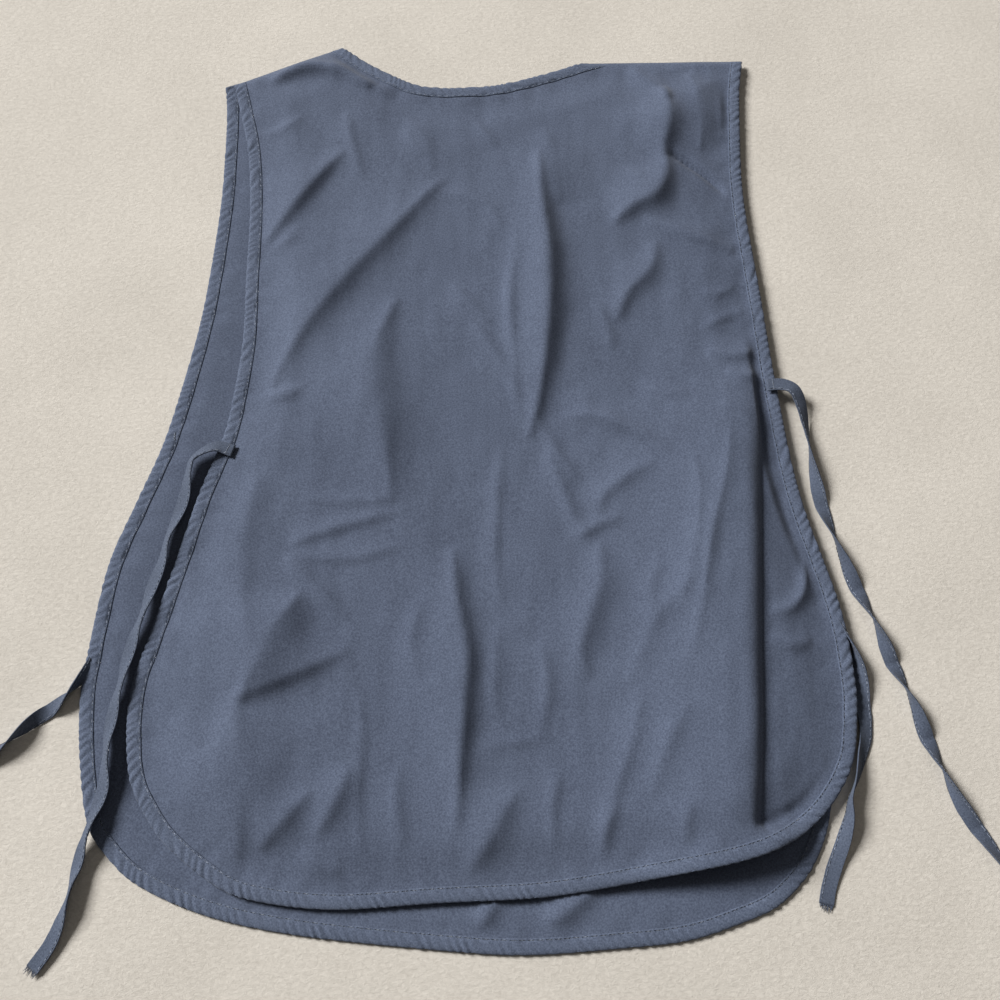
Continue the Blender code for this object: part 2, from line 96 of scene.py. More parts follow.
# Each row: the middle of the tape as (x, y, height), in metres, from its sewn end
TIE_ROUTES = {
    "tie_back_left": (
        (-0.181, -0.017, 0.0092), (-0.195, -0.014, 0.0088), (-0.210, -0.023, 0.0076),
        (-0.213, -0.033, 0.0068), (-0.215, -0.052, 0.0056), (-0.219, -0.071, 0.0056),
        (-0.224, -0.088, 0.0056), (-0.226, -0.105, 0.0058), (-0.231, -0.122, 0.0062),
        (-0.234, -0.138, 0.0066), (-0.239, -0.158, 0.0068), (-0.243, -0.175, 0.0066),
        (-0.245, -0.192, 0.0066), (-0.248, -0.209, 0.0064), (-0.250, -0.229, 0.0062),
        (-0.250, -0.249, 0.0060), (-0.250, -0.269, 0.0058), (-0.258, -0.300, 0.0046),
        (-0.263, -0.322, 0.0014), (-0.267, -0.345, 0.0009), (-0.274, -0.366, 0.0008),
        (-0.284, -0.382, 0.0008),
    ),
    "tie_front_left": (
        (-0.229, -0.012, 0.0009), (-0.236, -0.040, 0.0008), (-0.245, -0.080, 0.0008),
        (-0.254, -0.120, 0.0008), (-0.261, -0.155, 0.0008), (-0.272, -0.186, 0.0008),
        (-0.288, -0.206, 0.0008), (-0.304, -0.219, 0.0008), (-0.320, -0.234, 0.0008),
        (-0.337, -0.248, 0.0008),
    ),
    "tie_back_right": (
        (0.231, 0.038, 0.0112), (0.243, 0.038, 0.0118), (0.252, 0.033, 0.0112),
        (0.257, 0.022, 0.0064), (0.260, 0.002, 0.0014), (0.262, -0.030, 0.0008),
        (0.268, -0.066, 0.0008), (0.276, -0.098, 0.0008), (0.290, -0.135, 0.0008),
        (0.304, -0.176, 0.0008), (0.319, -0.220, 0.0008), (0.335, -0.268, 0.0008),
        (0.352, -0.298, 0.0008), (0.367, -0.325, 0.0008),
    ),
    "tie_front_right": (
        (0.229, 0.000, 0.0049), (0.235, -0.030, 0.0049), (0.243, -0.065, 0.0049),
        (0.253, -0.096, 0.0046), (0.263, -0.124, 0.0020), (0.274, -0.159, 0.0008),
        (0.280, -0.182, 0.0008), (0.281, -0.205, 0.0008), (0.280, -0.229, 0.0008),
        (0.275, -0.245, 0.0008), (0.269, -0.261, 0.0012), (0.263, -0.274, 0.0016),
        (0.261, -0.286, 0.0016), (0.256, -0.302, 0.0012), (0.249, -0.318, 0.0008),
        (0.244, -0.331, 0.0008), (0.241, -0.342, 0.0008),
    ),
}
# Each row: share of the tape's run, and how far the tape has turned there, in degrees
TIE_TURNS = {
    "tie_back_left": (
        (0.0, 180), (0.03, 160), (0.10, 118), (0.17, 172), (0.25, 118), (0.33, 170),
        (0.40, 116), (0.46, 172), (0.52, 118), (0.58, 168), (0.64, 116), (0.71, 170),
        (0.77, 112), (0.82, 165), (0.872, 100), (0.93, 160), (1.0, 172),
    ),
    "tie_front_left": ((0.0, 0), (0.60, 10), (0.70, 70), (0.80, 180), (0.90, 265), (1.0, 350)),
    "tie_back_right": (
        (0.0, 0), (0.06, 5), (0.20, 90), (0.384, 270), (0.54, 450), (0.674, 630),
        (0.819, 810), (0.93, 920), (1.0, 960),
    ),
    "tie_front_right": (
        (0.0, 0), (0.33, 5), (0.473, 70), (0.577, 165), (0.70, 215), (0.811, 275),
        (0.893, 345), (1.0, 365),
    ),
}


def linear(hex_colour):
    """An sRGB hex colour as linear RGBA."""
    parts = [int(hex_colour[i:i + 2], 16) / 255 for i in (1, 3, 5)]
    return (*[c / 12.92 if c < 0.04045 else ((c + 0.055) / 1.055) ** 2.4 for c in parts], 1.0)


def node(tree, kind, inputs=None, **settings):
    """Adds a shader node; an input is a value or the socket that feeds it."""
    made = tree.nodes.new("ShaderNode" + kind)
    for name, value in settings.items():
        setattr(made, name, value)
    for name, value in (inputs or {}).items():
        if isinstance(value, bpy.types.NodeSocket):
            tree.links.new(value, made.inputs[name])
        else:
            made.inputs[name].default_value = value
    return made


def woven_cotton(name, shade, light, thread, turn, follows, sheen=0.12, contrast=0.86):
    """Plain-woven cotton blend, piece dyed and washed: matt, finely mottled, with a soft nap."""
    material = bpy.data.materials.new(name)
    material.use_nodes = True
    tree = material.node_tree
    shader = tree.nodes["Principled BSDF"]
    coordinates = node(tree, "TexCoord").outputs[follows]
    on_grain = node(tree, "Mapping", {"Vector": coordinates, "Rotation": (0, 0, turn)})
    on_grain = on_grain.outputs["Vector"]
    band = 2 * pi / 20 / thread
    warp, weft = (
        node(tree, "TexWave", {"Vector": on_grain, "Scale": band, "Distortion": 0.6,
                               "Detail": 1.0, "Detail Scale": 2.0}, bands_direction=way)
        for way in ("X", "Y")
    )
    weave = node(tree, "Math", {0: warp.outputs["Fac"], 1: weft.outputs["Fac"]}, operation="ADD")
    slub = node(tree, "TexNoise", {"Vector": on_grain, "Scale": SLUBS_PER_METRE, "Detail": 3.0,
                                   "Roughness": 0.75})
    wash = node(tree, "TexNoise", {"Vector": coordinates, "Scale": WASH_PER_METRE,
                                   "Detail": 5.0, "Roughness": 0.65})
    grain = node(tree, "Mix", {"Factor": contrast, "A": wash.outputs["Fac"],
                               "B": slub.outputs["Fac"]})
    spread = node(tree, "MapRange", {"Value": grain.outputs["Result"],
                                     "From Min": NOISE_LOW, "From Max": NOISE_HIGH})
    colour = node(tree, "Mix", {"Factor": spread.outputs["Result"], "A": linear(shade),
                                "B": linear(light)}, data_type="RGBA")
    tree.links.new(colour.outputs["Result"], shader.inputs["Base Color"])
    relief = node(tree, "Math", {0: weave.outputs[0], 1: slub.outputs["Fac"]}, operation="ADD")
    bump = node(tree, "Bump", {"Height": relief.outputs[0], "Strength": 0.22,
                               "Distance": YARN_RELIEF})
    tree.links.new(bump.outputs["Normal"], shader.inputs["Normal"])
    shader.inputs["Roughness"].default_value = 0.9
    shader.inputs["Specular IOR Level"].default_value = 0.25
    shader.inputs["Sheen Weight"].default_value = sheen
    shader.inputs["Sheen Roughness"].default_value = 0.45
    return material


def smooth_line(points, step):
    """Points about a step apart on a smooth curve through the given ones."""
    points = np.array(points, float)
    knots = np.vstack([2 * points[0] - points[1], points, 2 * points[-1] - points[-2]])
    fine = [points[0]]
    for a, b, c, d in zip(knots, knots[1:], knots[2:], knots[3:]):
        for t in np.linspace(0, 1, 25)[1:]:
            curve = 2 * b + (c - a) * t + (2 * a - 5 * b + 4 * c - d) * t**2
            fine.append((curve + (3 * b - a - 3 * c + d) * t**3) / 2)
    fine = np.array(fine)
    run = np.append(0, np.cumsum(np.linalg.norm(np.diff(fine, axis=0), axis=1)))
    stations = np.linspace(0, run[-1], max(2, round(run[-1] / step) + 1))
    return np.column_stack([np.interp(stations, run, axis) for axis in fine.T])


def eased(value, low, high):
    """0 below low, 1 above high, and a smooth rise between them."""
    share = np.clip((value - low) / (high - low), 0, 1)
    return share * share * (3 - 2 * share)


def unit(vectors):
    return vectors / np.linalg.norm(vectors, axis=-1, keepdims=True)


def frames_along(path, turns):
    """Unit vectors ahead, across and out of a tape that is turned by degrees about its line."""
    ahead = unit(np.gradient(path, axis=0))
    side = unit(np.cross(ahead, (0, 0, 1)))
    up = np.cross(side, ahead)
    turn = np.radians(turns)[:, None]
    return ahead, side * np.cos(turn) + up * np.sin(turn), up * np.cos(turn) - side * np.sin(turn)


def cloth_strip(places, along, across):
    """A strip of cloth, from a grid whose vertex in row j and column i goes to places[j, i]."""
    rows, columns = places.shape[:2]
    bm = bmesh.new()
    bmesh.ops.create_grid(bm, x_segments=columns - 1, y_segments=rows - 1, size=0.5,
                          calc_uvs=False)
    uv = bm.loops.layers.uv.new("cloth")
    cell = {}
    for vert in bm.verts:
        i = round((vert.co.x + 0.5) * (columns - 1))
        j = round((vert.co.y + 0.5) * (rows - 1))
        cell[vert] = (across[i], along[j])
        vert.co = places[j, i]
    for face in bm.faces:
        for loop in face.loops:
            loop[uv].uv = cell[loop.vert]
    return bm


def finished(name, bm, material, wall=0.0):
    """The mesh as a piece of the apron, given a wall if it is cloth."""
    mesh = bpy.data.meshes.new(name)
    bm.to_mesh(mesh)
    bm.free()
    mesh.materials.append(material)
    mesh.shade_smooth()
    piece = bpy.data.objects.new(name, mesh)
    scene.collection.objects.link(piece)
    if wall:
        cloth = piece.modifiers.new("cloth", "SOLIDIFY")
        cloth.thickness = wall
        cloth.offset = 0
    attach(piece, "root")
    return piece


def seam_of_stitches(name, line, out, material, pitch=STITCH_PITCH):
    """A row of lockstitches along a line, with one small body of thread for each stitch."""
    run = np.append(0, np.cumsum(np.linalg.norm(np.diff(line, axis=0), axis=1)))
    stations = np.arange(pitch, run[-1] - pitch / 2, pitch)
    place, ahead, up = (
        np.column_stack([np.interp(stations, run, axis) for axis in values.T])
        for values in (line, unit(np.gradient(line, axis=0)), out)
    )
    aside = np.cross(up, ahead)
    bm = bmesh.new()
    bmesh.ops.create_uvsphere(bm, u_segments=4, v_segments=6, radius=0.5)
    bead = np.array([vert.co for vert in bm.verts])
    while len(bm.verts) < len(stations) * len(bead):
        bmesh.ops.duplicate(bm, geom=bm.verts[:] + bm.edges[:] + bm.faces[:])
    bm.verts.ensure_lookup_table()
    bmesh.ops.delete(bm, geom=bm.verts[len(stations) * len(bead):], context="VERTS")
    size = np.array((STITCH_WIDTH, 0.8 * STITCH_WIDTH, STITCH_LENGTH))
    # A fault that is left: the copies' vertices come in another order than the bead's, so each
    # body is crumpled and reaches over two stitches, and an odd row ends in an open one.
    for number, vert in enumerate(bm.verts):
        at = number // len(bead)
        across, thick, along = bead[number % len(bead)] * size
        vert.co = place[at] + aside[at] * across + up[at] * thick + ahead[at] * along
    return finished(name, bm, material)


def cut_threads(name, place, ahead, across, material, seed):
    """The loose threads of a cut end, each a thin tapering spike."""
    rng = np.random.default_rng(seed)
    bm = bmesh.new()
    for share in np.linspace(-0.5, 0.5, FRAY_THREADS):
        length = FRAY_LENGTH * rng.uniform(0.35, 1.0)
        lean = ahead + across * rng.uniform(-0.5, 0.5) + np.array((0, 0, rng.uniform(-0.05, 0.12)))
        lean = Vector(lean).normalized()
        root = Vector(place + across * share * TIE_WIDTH * 0.9) + lean * length * 0.4
        turned = lean.to_track_quat("Z", "Y").to_matrix().to_4x4()
        bmesh.ops.create_cone(bm, cap_ends=True, segments=5, radius1=FRAY_ROOT, radius2=FRAY_TIP,
                              depth=length, matrix=Matrix.Translation(root) @ turned)
    for vert in bm.verts:
        vert.co.z = max(vert.co.z, FLOOR_CLEAR)
    return finished(name, bm, material)


# Slate navy cloth of the ties, a shade darker and flatter than the panels. The thread spacing
# is drawn at 0.9 mm, twice the real one, so that the weave still shows.
tie_cloth = woven_cotton("navy cotton tie tape", "#414959", "#5B6476", DRAWN_THREAD, 0, "UV")
thread = woven_cotton("navy polyester sewing thread", "#7B8598", "#A2ABBD", DRAWN_THREAD, 0,
                      "Object")

for tie_name, route in TIE_ROUTES.items():
    path = smooth_line(route, TIE_STEP)
    steps = np.linalg.norm(np.diff(path, axis=0), axis=1)
    run = np.append(0, np.cumsum(steps))
    share = run / run[-1]
    turns = np.interp(share, *np.array(TIE_TURNS[tie_name]).T)
    turns = np.convolve(np.pad(turns, TURN_STATIONS // 2, mode="edge"),
                        np.ones(TURN_STATIONS) / TURN_STATIONS, mode="valid")
    on_edge = np.abs(np.sin(np.radians(turns)))
    on_top = path[0, 2] > SEWN_ON_TOP
    path[:, 2] += (TIE_WIDTH / 2 - EDGE_SINK) * on_edge
    path[:, 2] -= SEWN_SINK * (1 - eased(run, TIE_SEWN / 2, TIE_SEWN * 1.5)) * on_top
    ahead, across, out = frames_along(path, turns)
    columns = TIE_WIDTH * np.array(TIE_COLUMNS)
    waver = np.array([
        noise.noise(Vector((x * UNEVEN_PER_METRE, y * UNEVEN_PER_METRE, 3.7)))
        for x, y in path[:, :2]
    ])
    cup = (CUP_ON_EDGE * on_edge + CUP_UNEVEN * waver)[:, None]
    cup = cup * (np.cos(pi * columns / TIE_WIDTH) - 0.5)
    width = 1 + WIDTH_UNEVEN * waver[:, None]
    places = path[:, None] + across[:, None] * (columns * width)[:, :, None]
    places = places + out[:, None] * cup[:, :, None]
    lowest = FLOOR_CLEAR + TIE_CLOTH / 2
    places[:, :, 2] = np.maximum(places[:, :, 2], lowest)
    tape = finished(tie_name, cloth_strip(places, run, columns), tie_cloth, TIE_CLOTH)
    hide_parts(tie_name)
    trims = []
    for face_name, face in (("upper", 1), ("under", -1)):
        seam = path + across * (TIE_WIDTH / 2 - TIE_STITCH_IN)
        seam = seam + out * face * (TIE_CLOTH / 2 + STITCH_PROUD)
        seam[:, 2] = np.maximum(seam[:, 2], STITCH_CLEAR)
        trims.append(seam_of_stitches(f"{tie_name}_{face_name}_stitches", seam, out * face,
                                      thread))
    trims.append(cut_threads(f"{tie_name}_cut_end", path[-1], ahead[-1], across[-1], tie_cloth,
                             len(tie_name)))
    if on_top:
        station = round(BAR_TACK_IN / TIE_STEP)
        reach = np.linspace(-BAR_TACK_REACH, BAR_TACK_REACH, BAR_TACK_POINTS)
        bar = reach[:, None] * TIE_WIDTH * across[station]
        bar = path[station] + bar + (0, 0, TIE_CLOTH / 2 + STITCH_PROUD)
        upright = np.tile((0, 0, 1.0), (BAR_TACK_POINTS, 1))
        trims.append(seam_of_stitches(f"{tie_name}_bar_tack", bar, upright, thread,
                                      pitch=BAR_TACK_PITCH))

# The upper panel: one layer of the navy cloth with the shallow neckline, lying creased over the
# other panel. A roll of cloth stands along its right side and lifts the hem into a tunnel.
APRON_WIDTH = 0.550
APRON_LENGTH = 0.746
HALF_WIDTH = APRON_WIDTH / 2
HALF_LENGTH = APRON_LENGTH / 2
NECK_WIDTH = 0.215
NECK_MIDDLE = -0.038
NECK_CORNER_LEFT_ALONG = 1.000
NECK_CORNER_RIGHT_ALONG = 0.954
BACK_NECK_DROP = 0.040
FRONT_NECK_DROP = 0.150
CLOTH = 0.0006
BINDING_WIDTH = 0.010
BINDING_HALF = 0.0019
SEAM_GAP = 0.0003
RAW_EDGE_IN = 0.0014
FLAT_EDGE = 1.3 * BINDING_WIDTH
FRONT_EDGE_HEIGHT = BINDING_HALF
FRONT_HEIGHT = 0.0005
BACK_EDGE_HEIGHT = 3 * BINDING_HALF + SEAM_GAP
BACK_HEIGHT = 0.0097
HEM_SETTLES = 0.045
NECK_LIFT = 0.0024
RIGHT_LIFT = 0.0008
UNDER_TIE_LIFT = 0.0017
SEAM_HEIGHT = 0.00395
SEAM_ROLL = 0.009
PLEAT_RISE = 0.0140
PLEAT_FLAP = 0.40
PLEAT_FLAP_FALL = 0.050
PLEAT_LEFT_FLANK = 0.062
PLEAT_HEM_FLANK = 0.032
PLEAT_HEM_NEAR = 0.006
PLEAT_HEM_FAR = 0.020
PLEAT_HEM_HOLD = 0.030
PLEAT_FOOT = -0.0035
PLEAT_SPAN = 0.0175
PLEAT_ROUND = 3.6
PLEAT_CLOTH = 0.0225
FOLD_SHARPNESS = 1.25
FOLD_ROUND = 0.030
FOLD_NARROWS = 0.014
FOLD_STEP = 0.006
FOLD_REACH = 4
FOLD_FADE = 0.6
FOLD_ROUNDER = 0.7
MM = 0.001
RAW_EDGE_LEAST = 0.0002
RAW_EDGE_FADE = 0.010
DRAG_RISE = 0.0011
DRAG_IN = 0.012
DRAG_SPAN = 0.008
DRAG_FROM = 0.0085
PLEAT_SLACK_FADE = 0.035
PLEAT_FLAP_START = -0.010
NECK_LIFT_REACH = (0.12, 0.50)
RIGHT_LIFT_ACROSS = (0.50, 0.80)
RIGHT_LIFT_ALONG = (0.30, 0.70)
SIDE_CLEAR = 2.0 * BINDING_WIDTH
FOLDS_CLEAR = 1.8 * BINDING_WIDTH
# The cloth's soft unevenness: rise, pitch, stretch along the apron, and the noise's slice
BACK_LOOSE = (
    (0.0012, 0.045, 1.6, 0.4), (0.0005, 0.016, 1.3, 5.1), (0.0003, 0.009, 3.5, 8.3),
)
CELL = 0.0029
PLEAT_CELL = 0.0013
ROW = 0.0030
EDGE_STEP = 0.008
FINE_STEP = 0.0013
# Rows of (across, along), shares of half the width and half the length, from the left shoulder
# tip down, round the hem and up to the right shoulder tip
BACK_OUTLINE = (
    (-0.764, 0.890), (-0.735, 0.810), (-0.698, 0.694), (-0.676, 0.539), (-0.669, 0.365),
    (-0.662, 0.214), (-0.673, 0.094), (-0.691, -0.008), (-0.745, -0.139), (-0.789, -0.279),
    (-0.840, -0.437), (-0.866, -0.515), (-0.869, -0.600), (-0.847, -0.697), (-0.800, -0.761),
    (-0.735, -0.818), (-0.604, -0.887), (-0.498, -0.912), (-0.316, -0.925), (-0.065, -0.914),
    (0.207, -0.903), (0.476, -0.871), (0.676, -0.842), (0.793, -0.810), (0.876, -0.769),
    (0.935, -0.718), (0.975, -0.662), (0.994, -0.590), (1.000, -0.512), (0.982, -0.370),
    (0.905, -0.134), (0.869, 0.110), (0.847, 0.338), (0.829, 0.515), (0.825, 0.627),
    (0.833, 0.751), (0.844, 0.871), (0.862, 0.960),
)
# Rows of (share of the neck's width from its right corner, share of its drop)
BACK_NECK = (
    (0.0, 0.0), (0.17, 0.42), (0.353, 0.82), (0.51, 0.965),
    (0.59, 1.0), (0.70, 0.94), (0.865, 0.49), (1.0, 0.0),
)
# The roll's crest, as (across, along) with the share of its full rise there
PLEAT_CREST = (
    (0.845, 0.220, 0.0), (0.836, 0.110, 0.35), (0.828, 0.040, 0.70), (0.812, -0.090, 0.88),
    (0.780, -0.390, 1.0), (0.760, -0.600, 1.0), (0.735, -0.780, 1.0), (0.715, -1.000, 1.0),
)
# The folds: rise, left flank and right flank in millimetres, the flanks as seen along the line,
# and the crest's line as (across, along)
BACK_FOLDS = (
    ("shoulder arch", 9.2, 6.8, 10.8, (
        (-0.323, 0.871), (-0.444, 0.923), (-0.556, 0.926), (-0.654, 0.888),
    )),
    ("shoulder arch tail", 2.2, 5.5, 8.8, ((-0.249, 0.847), (-0.313, 0.871), (-0.394, 0.894))),
    ("neck crease", 2.6, 4.4, 8.8, ((-0.401, 0.802), (-0.373, 0.710), (-0.333, 0.614))),
    ("armhole drag", 6.2, 6.8, 25.2, (
        (-0.397, 0.696), (-0.474, 0.620), (-0.552, 0.529), (-0.628, 0.446),
    )),
    ("long drag", 6.8, 10.1, 36.0, (
        (-0.082, 0.620), (-0.145, 0.571), (-0.233, 0.487), (-0.346, 0.385), (-0.442, 0.286),
        (-0.520, 0.180), (-0.574, 0.086),
    )),
    ("collar branch", 2.2, 7.7, 8.8, ((-0.218, 0.785), (-0.153, 0.723), (-0.126, 0.641))),
    ("arc", 2.2, 4.4, 8.8, ((0.089, 0.487), (0.047, 0.540), (-0.023, 0.569), (-0.094, 0.579))),
    ("centre ridge", 11.4, 11.5, 23.4, (
        (0.200, 0.696), (0.207, 0.561), (0.223, 0.431), (0.223, 0.305), (0.212, 0.185),
        (0.190, 0.068), (0.161, -0.023),
    )),
    ("centre shade", 4.0, 29.7, 15.4, ((0.223, 0.757), (0.243, 0.655), (0.265, 0.548))),
    ("centre second", 1.7, 3.3, 4.4, (
        (0.131, 0.495), (0.118, 0.305), (0.123, 0.161), (0.139, -0.000),
    )),
    ("centre arc", 1.9, 4.4, 6.6, (
        (-0.058, 0.315), (0.013, 0.244), (0.083, 0.161), (0.139, 0.063),
    )),
    ("left valley", 8.4, 20.2, 46.8, (
        (-0.216, 0.315), (-0.274, 0.196), (-0.274, 0.079), (-0.234, -0.045), (-0.211, -0.164),
    )),
    ("left foot crease", 1.9, 3.3, 5.5, ((-0.483, 0.077), (-0.539, 0.072), (-0.591, 0.086))),
    ("upper crease", 2.2, 3.3, 6.6, ((-0.212, -0.152), (-0.340, -0.158), (-0.463, -0.149))),
    ("second crease", 2.9, 3.3, 7.7, (
        (-0.189, -0.179), (-0.296, -0.201), (-0.403, -0.224), (-0.492, -0.251),
    )),
    ("third crease", 2.2, 3.3, 6.6, ((-0.173, -0.249), (-0.319, -0.276), (-0.490, -0.271))),
    ("hook", 1.0, 1.7, 1.7, ((-0.281, -0.179), (-0.269, -0.209), (-0.236, -0.222))),
    ("dent upper", 3.3, 10.8, 6.6, ((-0.311, -0.401), (-0.408, -0.335), (-0.496, -0.271))),
    ("dent west", 10.1, 23.0, 46.8, ((-0.441, -0.345), (-0.522, -0.440), (-0.586, -0.563))),
    ("dent floor", 4.4, 6.1, 21.6, ((-0.307, -0.456), (-0.408, -0.494), (-0.588, -0.551))),
    ("below the dent", 7.0, 33.8, 36.0, ((-0.595, -0.536), (-0.566, -0.702), (-0.562, -0.842))),
    ("lower left one", 5.3, 9.5, 16.2, ((-0.385, -0.720), (-0.447, -0.769), (-0.508, -0.824))),
    ("lower left two", 4.8, 8.1, 18.0, ((-0.293, -0.675), (-0.319, -0.729), (-0.371, -0.804))),
    ("lower left three", 1.4, 3.3, 5.5, (
        (-0.299, -0.502), (-0.268, -0.593), (-0.269, -0.737), (-0.253, -0.842),
    )),
    ("long lower fold", 7.9, 8.1, 32.4, (
        (-0.046, -0.249), (-0.031, -0.361), (-0.005, -0.460), (-0.009, -0.555),
        (-0.018, -0.666), (-0.028, -0.799),
    )),
    ("middle line", 1.7, 3.3, 5.5, (
        (0.091, -0.023), (0.075, -0.154), (0.072, -0.280), (0.083, -0.381),
    )),
    ("middle lower", 1.9, 5.5, 6.6, ((0.075, -0.411), (0.068, -0.536), (0.078, -0.593))),
    ("foot of the middle", 4.8, 10.8, 21.6, ((0.128, -0.716), (0.078, -0.776), (0.010, -0.859))),
    ("cross line", 1.2, 3.3, 4.4, ((0.214, -0.626), (0.133, -0.633), (0.033, -0.644))),
    ("lens upper", 3.1, 5.4, 13.2, (
        (0.548, -0.058), (0.474, -0.009), (0.377, 0.022), (0.253, 0.072),
    )),
    ("lens lower", 2.9, 5.5, 8.8, (
        (0.512, -0.071), (0.427, -0.106), (0.362, -0.149), (0.349, -0.196),
    )),
    ("knot left", 3.5, 6.8, 8.8, (
        (0.216, -0.040), (0.248, -0.121), (0.284, -0.192), (0.330, -0.251),
    )),
    ("knot right", 2.9, 4.4, 5.5, ((0.414, -0.192), (0.354, -0.205), (0.285, -0.234))),
    ("knot down", 5.3, 10.8, 16.2, (
        (0.352, -0.238), (0.349, -0.321), (0.314, -0.401), (0.291, -0.460), (0.315, -0.517),
    )),
    ("band", 1.9, 7.7, 8.8, ((0.616, -0.300), (0.490, -0.401), (0.404, -0.536))),
    ("right fold one", 2.9, 6.6, 8.8, (
        (0.720, -0.000), (0.693, -0.111), (0.643, -0.238), (0.611, -0.361), (0.575, -0.479),
    )),
    ("right fold two", 2.2, 5.5, 7.7, (
        (0.618, -0.056), (0.621, -0.154), (0.591, -0.280), (0.545, -0.401),
    )),
    ("lower right one", 2.2, 6.6, 8.8, ((0.569, -0.559), (0.499, -0.639), (0.455, -0.737))),
    ("lower right two", 2.2, 5.5, 7.7, (
        (0.442, -0.536), (0.416, -0.629), (0.361, -0.737), (0.327, -0.824),
    )),
    ("left side valley", 3.1, 13.5, 15.4, (
        (-0.584, -0.089), (-0.609, -0.238), (-0.596, -0.361), (-0.551, -0.460),
    )),
    ("shoulder dip", 4.0, 16.2, 8.8, ((0.492, 0.935), (0.565, 0.882), (0.612, 0.825))),
    ("shoulder fall", 10.1, 12.2, 25.2, ((0.603, 0.871), (0.605, 0.774), (0.576, 0.674))),
    ("shoulder shade", 4.4, 32.4, 21.6, ((0.689, 0.923), (0.711, 0.808), (0.702, 0.696))),
    ("shoulder middle", 8.8, 9.5, 28.8, (
        (0.590, 0.696), (0.589, 0.628), (0.554, 0.571), (0.482, 0.540), (0.420, 0.498),
    )),
    ("shoulder line one", -5.3, 3, 3, ((0.777, 0.582), (0.697, 0.641), (0.602, 0.690))),
    ("shoulder line two", 3.1, 5.4, 8.8, ((0.786, 0.431), (0.652, 0.467), (0.505, 0.508))),
    ("shoulder line three", 5.3, 8.1, 16.2, (
        (0.550, 0.456), (0.527, 0.385), (0.459, 0.325), (0.420, 0.252),
    )),
    ("armhole pull one", 2.9, 4.4, 5.5, ((0.837, 0.194), (0.757, 0.170), (0.672, 0.180))),
    ("armhole pull two", 3.1, 6.8, 5.5, ((0.836, 0.133), (0.772, 0.119), (0.725, 0.133))),
    ("armhole ripple one", 1.7, 3.3, 4.4, ((0.774, 0.343), (0.713, 0.318), (0.670, 0.330))),
    ("armhole ripple two", 1.7, 3.3, 4.4, ((0.797, 0.281), (0.728, 0.261), (0.662, 0.232))),
    ("flap hook", 3.5, 4.7, 5.5, (
        (0.902, -0.280), (0.886, -0.341), (0.847, -0.377), (0.788, -0.385),
    )),
    ("flap line", 2.9, 4.4, 6.6, ((0.896, -0.440), (0.838, -0.452), (0.783, -0.432))),
    ("binding crease one", 2.2, 3.3, 4.4, ((-0.579, 0.077), (-0.523, 0.084), (-0.465, 0.096))),
    ("binding crease two", 2.2, 4.4, 6.6, ((-0.652, 0.746), (-0.591, 0.757), (-0.535, 0.791))),
    ("binding crease three", 1.9, 4.4, 6.6, ((-0.609, 0.431), (-0.557, 0.454), (-0.518, 0.493))),
    ("crumple one", 2.2, 3.3, 5.5, ((-0.058, 0.345), (-0.005, 0.301), (0.060, 0.244))),
    ("crumple two", 1.9, 3.3, 4.4, ((0.119, 0.410), (0.106, 0.305), (0.115, 0.196))),
    ("crumple three", 2.2, 4.4, 6.6, ((0.008, 0.774), (0.039, 0.740), (0.074, 0.701))),
    ("crumple four", 2.2, 4.4, 5.5, ((-0.217, 0.757), (-0.190, 0.718), (-0.152, 0.674))),
    ("fork one", 2.6, 4.4, 7.7, ((0.252, 0.034), (0.364, 0.027), (0.501, -0.023))),
    ("fork two", 2.4, 4.4, 6.6, ((0.190, 0.022), (0.238, -0.045), (0.303, -0.115))),
    ("crumple five", 1.9, 4.4, 6.6, ((0.364, 0.305), (0.391, 0.252), (0.405, 0.185))),
    ("crumple six", 1.9, 4.4, 6.6, ((0.481, 0.114), (0.547, 0.086), (0.620, 0.077))),
    ("crumple seven", 1.9, 4.4, 7.7, ((-0.128, -0.361), (-0.147, -0.440), (-0.128, -0.517))),
    ("crumple eight", 1.9, 4.4, 7.7, ((0.187, -0.440), (0.206, -0.536), (0.184, -0.629))),
    ("crumple nine", 2.2, 4.4, 7.7, ((0.233, -0.684), (0.211, -0.755), (0.220, -0.824))),
    ("crumple ten", 1.9, 4.4, 7.7, ((-0.168, -0.666), (-0.175, -0.737), (-0.152, -0.816))),
    ("crumple eleven", 1.9, 4.4, 6.6, ((-0.756, -0.593), (-0.708, -0.611), (-0.673, -0.644))),
    ("crumple twelve", 1.7, 4.4, 7.7, ((0.511, -0.280), (0.480, -0.341), (0.486, -0.421))),
    ("hem pucker one", 2.4, 4.4, 6.6, ((-0.406, -0.824), (-0.355, -0.852), (-0.300, -0.862))),
    ("hem pucker two", 2.2, 4.4, 6.6, ((0.554, -0.737), (0.536, -0.780), (0.543, -0.818))),
    ("hem pucker three", 2.2, 4.4, 6.6, ((0.380, -0.737), (0.343, -0.790), (0.336, -0.845))),
)


def placed(shares):
    """Rows of (across, along) as metres."""
    return np.array(shares) * (HALF_WIDTH, HALF_LENGTH)


def neck_line(rows, drop, step):
    """The neck's edge from its right corner to its left one."""
    middle = NECK_MIDDLE * HALF_WIDTH
    right = np.array((middle + NECK_WIDTH / 2, NECK_CORNER_RIGHT_ALONG * HALF_LENGTH))
    left = np.array((middle - NECK_WIDTH / 2, NECK_CORNER_LEFT_ALONG * HALF_LENGTH))
    points = [right + (left - right) * across - (0, drop * deep) for across, deep in rows]
    return smooth_line(points, step)


